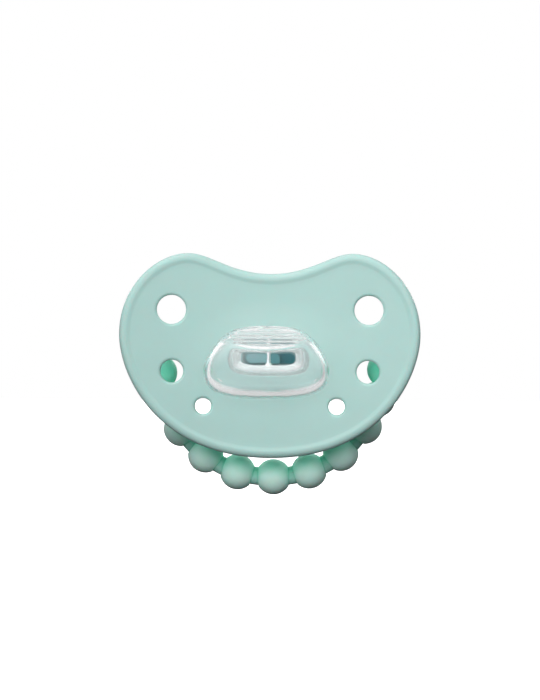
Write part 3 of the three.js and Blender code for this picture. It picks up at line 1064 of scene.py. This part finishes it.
def hung(points):
    """Points of the handle turned a little about the hinge's middle, as it hangs in its play."""
    middle = Vector((0, HINGE_Y, HINGE_Z))
    turn = Matrix.Rotation(-HANG, 3, "Y")
    return [middle + turn @ (point - middle) for point in points]


def on_arc(distance):
    """The place and direction at a distance along the right half of the curve."""
    points = arc_points(2000)
    gone = 0.0
    for before, after in zip(points, points[1:]):
        step = (after - before).length
        if gone + step >= distance:
            along = (after - before).normalized()
            return before + along * (distance - gone), along
        gone += step
    return points[-1], Vector((0, 0, 1))


def handle_line():
    """The rod's middle line from the right pin's shoulder round to the left one."""
    arm_end = ARM_X - BEND_RADIUS
    bend_z = HINGE_Z - BEND_RADIUS
    right = []
    for i in range(10):
        right.append(Vector((mix(SHOULDER_X, arm_end, i / 10), HINGE_Y, HINGE_Z)))
    for i in range(13):
        turn = math.pi / 2 * i / 12
        x = arm_end + BEND_RADIUS * math.sin(turn)
        right.append(Vector((x, HINGE_Y, bend_z + BEND_RADIUS * math.cos(turn))))
    right += list(reversed(arc_points(64)[1:]))
    left = [Vector((-point.x, point.y, point.z)) for point in reversed(right)]
    return right + [Vector((0, HINGE_Y, DROP_Z))] + left


def swept(line, radii):
    """Rings of a round bar in the plane y = HINGE_Y, one for each point and radius."""
    rings = []
    for i, point in enumerate(line):
        before = line[max(0, i - 1)]
        after = line[min(len(line) - 1, i + 1)]
        along = (after - before).normalized()
        side = Vector((0, 1, 0))
        across = along.cross(side)
        ring = []
        for k in range(ROD_SIDES):
            angle = 2 * math.pi * k / ROD_SIDES
            offset = side * math.cos(angle) + across * math.sin(angle)
            ring.append(point + offset * radii[i])
        rings.append(ring)
    return rings


def make_rod():
    """The rod with its shoulders, pins and pin heads."""
    line = handle_line()
    # (x, radius) out along a pin: its rounded head, the pin and the rod's shoulder
    head = [
        (6.4 * MM, 1.8 * MM), (6.5 * MM, 2.05 * MM), (6.7 * MM, 2.1 * MM),
        (7.4 * MM, 2.1 * MM), (7.6 * MM, 1.95 * MM), (7.6 * MM, PIN_RADIUS),
        (11.7 * MM, PIN_RADIUS), (11.72 * MM, ROD_RADIUS - 0.2 * MM),
    ]
    right = [Vector((x, HINGE_Y, HINGE_Z)) for x, _ in head]
    left = [Vector((-x, HINGE_Y, HINGE_Z)) for x, _ in reversed(head)]
    radii = [r for _, r in head] + [ROD_RADIUS] * len(line) + [r for _, r in reversed(head)]
    rings = swept(right + line + left, radii)
    # the rings of the pins stand square to the hinge
    for offset, (x, _) in enumerate(head):
        for ring, side in ((rings[offset], 1), (rings[-1 - offset], -1)):
            for point in ring:
                point.x = side * x
    rings = [hung(ring) for ring in rings]
    rod = lofted(
        "handle_rod_moulding", rings, ROD_SIDES, ROD_MINT, "handle", "handle_rod"
    )
    sharpen(rod, 40)


def bead_profile():
    """(radius, distance along the rod) from end to end of a ball with a softened foot."""
    meet = math.asin(BEAD_HALF_LENGTH / BEAD_RADIUS)
    half = []
    steps = 24
    for i in range(steps + 1):
        angle = meet * i / steps
        half.append((BEAD_RADIUS * math.cos(angle), BEAD_RADIUS * math.sin(angle)))
    end = half[-1][0]
    half.append((mix(end, ROD_RADIUS, 0.6), BEAD_HALF_LENGTH + 0.04 * MM))
    half.append((ROD_RADIUS - 0.1 * MM, BEAD_HALF_LENGTH + 0.05 * MM))
    return [(r, -along) for r, along in reversed(half[1:])] + half


def make_bead(index):
    """One bead, counted from the left end of the handle."""
    place = index - len(BEADS_ALONG) + 1
    centre, along = on_arc(BEADS_ALONG[abs(place)] * MM)
    if place < 0:
        centre.x, along.z = -centre.x, -along.z
    side = Vector((0, 1, 0))
    across = along.cross(side)
    rings = []
    for radius, distance in bead_profile():
        ring = []
        for k in range(BEAD_SIDES):
            turn = 2 * math.pi * k / BEAD_SIDES
            offset = side * math.cos(turn) + across * math.sin(turn)
            ring.append(centre + along * distance + offset * radius)
        rings.append(hung(ring))
    name = f"bead_{index + 1:02d}"
    lofted(name + "_ball", rings, BEAD_SIDES, BEAD_MINT_PAINTED_LIGHTER, "handle", name)


make_rod()
for bead_index in range(2 * len(BEADS_ALONG) - 1):
    make_bead(bead_index)

# ---------------------------------------------------------------- studio

FLOOR_SIZE = 3.0
FLOOR_DROP = 45 * MM
FLOOR_GLOW = 0.9
LAMP_AT = (0, -85 * MM, 16 * MM)
LAMP_SIZE = 50 * MM
LAMP_POWER = 0.050
# Each light is a soft patch of sky: its direction, how tight it is and how strong.
LIGHT_FILL = 0.05
LIGHTS = [
    ((-0.45, -0.82, 0.36), 12.0, 1.8),  # key, in front and to the left
    ((0, 0, 1), 1.0, 0.9),
    ((0.1, 0.9, 0.42), 5.0, 2.4),  # behind
]
SHINE_FILL = 0.05
SHINES = [
    ((-0.25, -0.35, 0.9), 4.0, 4.5),
    ((0, 0.77, 0.64), 16.0, 0.7),
    ((-0.68, 0.6, 0.42), 60.0, 7.0),  # behind to both sides, for the rims
    ((0.68, 0.6, 0.42), 60.0, 7.0),
]
THROUGH_FILL = 0.78
THROUGHS = [
    ((0, 0, 1), 1.0, 0.2),
    ((-1, 0, 0), 1.0, 0.1),
    ((1, 0.25, -0.2), 14.0, -0.75),  # dark flags at the right and underneath
    ((0, 0.3, -1), 30.0, -0.75),
]


def make_floor():
    """A wide pale floor, well below the hanging handle."""
    level = cad_low.z - FLOOR_DROP
    mesh = bpy.data.meshes.new("floor")
    signs = [(-1, -1), (1, -1), (1, 1), (-1, 1)]
    corners = [(FLOOR_SIZE * x, FLOOR_SIZE * y, level) for x, y in signs]
    mesh.from_pydata(corners, [], [(0, 1, 2, 3)])
    floor = bpy.data.objects.new("floor", mesh)
    scene.collection.objects.link(floor)
    material, _, shader, _ = node_material("pale_floor")
    shader.inputs["Base Color"].default_value = (0.92, 0.92, 0.92, 1)
    shader.inputs["Roughness"].default_value = 1.0
    shader.inputs["Specular IOR Level"].default_value = 0.0
    shader.inputs["Emission Color"].default_value = (1, 1, 1, 1)
    shader.inputs["Emission Strength"].default_value = FLOOR_GLOW
    floor.data.materials.append(material)
    floor.visible_diffuse = False
    floor.visible_glossy = False
    floor.visible_transmission = False


def make_world():
    """White to the eye; as a light it comes from in front, above and behind, and is dim below."""
    world = bpy.data.worlds.new("studio")
    scene.world = world
    world.use_nodes = True
    tree = world.node_tree
    tree.nodes.clear()
    link = tree.links.new

    def add(kind, **values):
        node = tree.nodes.new(kind)
        for key, value in values.items():
            setattr(node, key, value)
        return node

    def lobe(direction, power, strength):
        """strength * max(0, cosine to the direction) ** power"""
        dot = add("ShaderNodeVectorMath", operation="DOT_PRODUCT")
        dot.inputs[1].default_value = Vector(direction).normalized()
        link(place.outputs["Generated"], dot.inputs[0])
        held = add("ShaderNodeMath", operation="MAXIMUM")
        held.inputs[1].default_value = 0.0
        link(dot.outputs["Value"], held.inputs[0])
        raised = add("ShaderNodeMath", operation="POWER")
        raised.inputs[1].default_value = power
        link(held.outputs[0], raised.inputs[0])
        scaled = add("ShaderNodeMath", operation="MULTIPLY")
        scaled.inputs[1].default_value = strength
        link(raised.outputs[0], scaled.inputs[0])
        return scaled.outputs[0]

    def total(base, parts):
        """base plus one lobe for each part."""
        sum_now = None
        for part in parts:
            node = add("ShaderNodeMath", operation="ADD")
            link(lobe(*part), node.inputs[0])
            if sum_now:
                link(sum_now, node.inputs[1])
            else:
                node.inputs[1].default_value = base
            sum_now = node.outputs[0]
        return sum_now

    place = add("ShaderNodeTexCoord")
    falling = total(LIGHT_FILL, LIGHTS)
    mirrored = total(SHINE_FILL, SHINES)
    through = total(THROUGH_FILL, THROUGHS)

    light = add("ShaderNodeBackground")
    link(falling, light.inputs["Strength"])
    shine = add("ShaderNodeBackground")
    link(mirrored, shine.inputs["Strength"])
    glass_light = add("ShaderNodeBackground")
    link(through, glass_light.inputs["Strength"])
    white = add("ShaderNodeBackground")
    for node in (light, shine, glass_light, white):
        node.inputs["Color"].default_value = (1, 1, 1, 1)
    path = add("ShaderNodeLightPath")
    glossed = add("ShaderNodeMixShader")
    link(path.outputs["Is Glossy Ray"], glossed.inputs["Fac"])
    link(light.outputs["Background"], glossed.inputs[1])
    link(shine.outputs["Background"], glossed.inputs[2])
    seen_through = add("ShaderNodeMixShader")
    link(path.outputs["Is Transmission Ray"], seen_through.inputs["Fac"])
    link(glossed.outputs["Shader"], seen_through.inputs[1])
    link(glass_light.outputs["Background"], seen_through.inputs[2])
    both = add("ShaderNodeMixShader")
    link(path.outputs["Is Camera Ray"], both.inputs["Fac"])
    link(seen_through.outputs["Shader"], both.inputs[1])
    link(white.outputs["Background"], both.inputs[2])
    out = add("ShaderNodeOutputWorld")
    link(both.outputs["Shader"], out.inputs["Surface"])


def make_lamp():
    """A soft square lamp close in front. Only its light is seen: reflections come off the studio."""
    data = bpy.data.lights.new("soft_box", "AREA")
    data.shape = "SQUARE"
    data.size = LAMP_SIZE
    data.energy = LAMP_POWER
    lamp = bpy.data.objects.new("soft_box", data)
    scene.collection.objects.link(lamp)
    lamp.location = LAMP_AT
    lamp.rotation_mode = "QUATERNION"
    lamp.rotation_quaternion = Vector(LAMP_AT).to_track_quat("Z", "Y")
    lamp.visible_camera = False
    lamp.visible_glossy = False
    lamp.visible_transmission = False


make_floor()
make_lamp()
make_world()
scene.view_settings.view_transform = "Standard"
scene.view_settings.look = "None"
